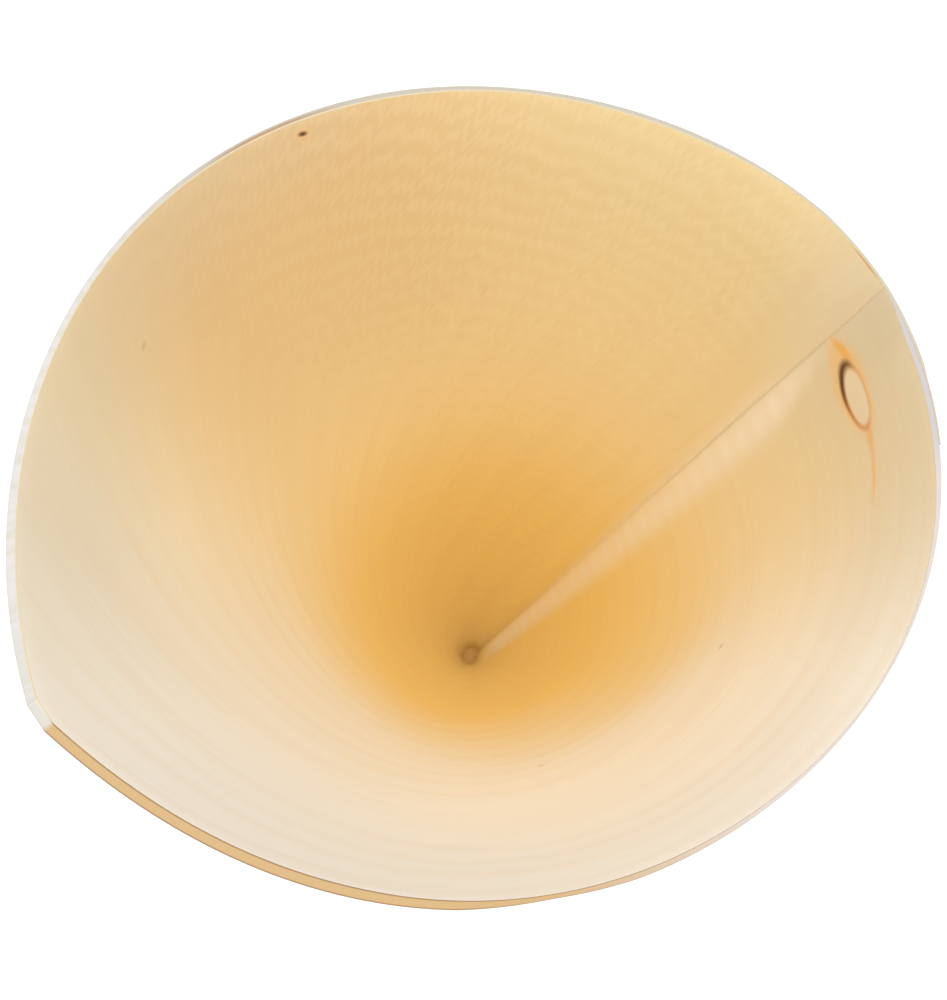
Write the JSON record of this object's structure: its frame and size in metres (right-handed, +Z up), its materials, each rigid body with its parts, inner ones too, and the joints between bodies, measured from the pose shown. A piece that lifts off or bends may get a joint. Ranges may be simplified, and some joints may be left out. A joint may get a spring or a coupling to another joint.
{
  "type": "wooden food cone",
  "caption": "Pointed food cone rolled from a thin softwood veneer sheet with a glued lap; open mouth with one raised corner, closed blunt tip, lying on its side.",
  "frame": {"origin": "on the floor, under the middle of the cone's bounding box as it lies on its side", "axes": "+Z up; the cone lies with its mouth towards -Y and its tip towards +Y, the flat strip of its wall on the floor along Y"},
  "size_m": [0.0542, 0.1226, 0.047],
  "materials": {
    "veneer": "bare sanded softwood veneer, fine straight grain, no varnish"
  },
  "bodies": {
    "root": {"rolled_cone": "veneer"}
  },
  "joints": []
}
